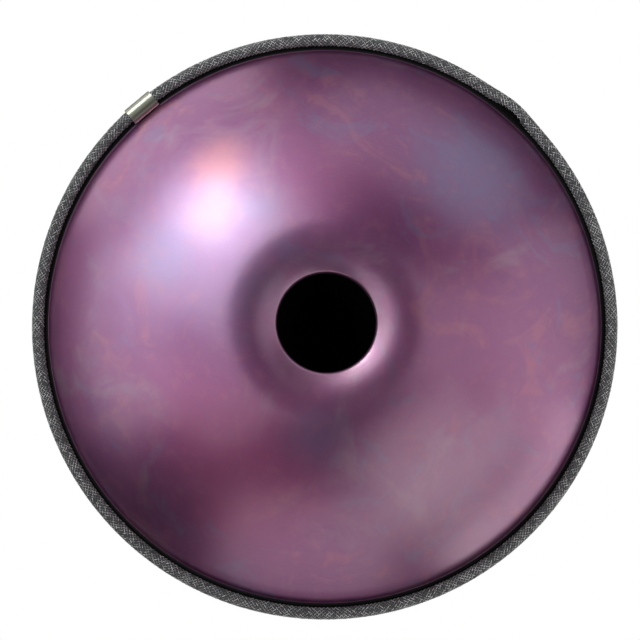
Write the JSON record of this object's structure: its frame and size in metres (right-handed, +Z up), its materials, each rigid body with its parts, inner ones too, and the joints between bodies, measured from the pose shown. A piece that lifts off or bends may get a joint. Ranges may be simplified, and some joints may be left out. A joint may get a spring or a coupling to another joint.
{
  "type": "handpan",
  "caption": "Steel handpan: two domed shells glued at the rim, a played side with tone fields, an underside with a port, and a braided rim rope with a clasp.",
  "frame": {"origin": "on the surface that the instrument stands on, below the centre of the port", "axes": "+Z up, from the port side to the played side, along the axis of the shells; -Y is the player's side, where the lowest tone fields are"},
  "size_m": [0.567, 0.5668, 0.237],
  "materials": {
    "shell_steel": "satin violet heat and lacquer finish on nitrided sheet steel, mottled towards blue and rose",
    "adhesive": "cured black adhesive",
    "trim_rubber": "matt black extrusion",
    "rope": "grey braided synthetic rope",
    "clasp_steel": "satin, brushed along its length"
  },
  "bodies": {
    "root": {"ding_shell": "shell_steel", "gu_shell": "shell_steel", "flange_adhesive": "adhesive", "edge_trim": "trim_rubber", "rope_braid": "rope", "clasp": "clasp_steel"}
  },
  "joints": []
}
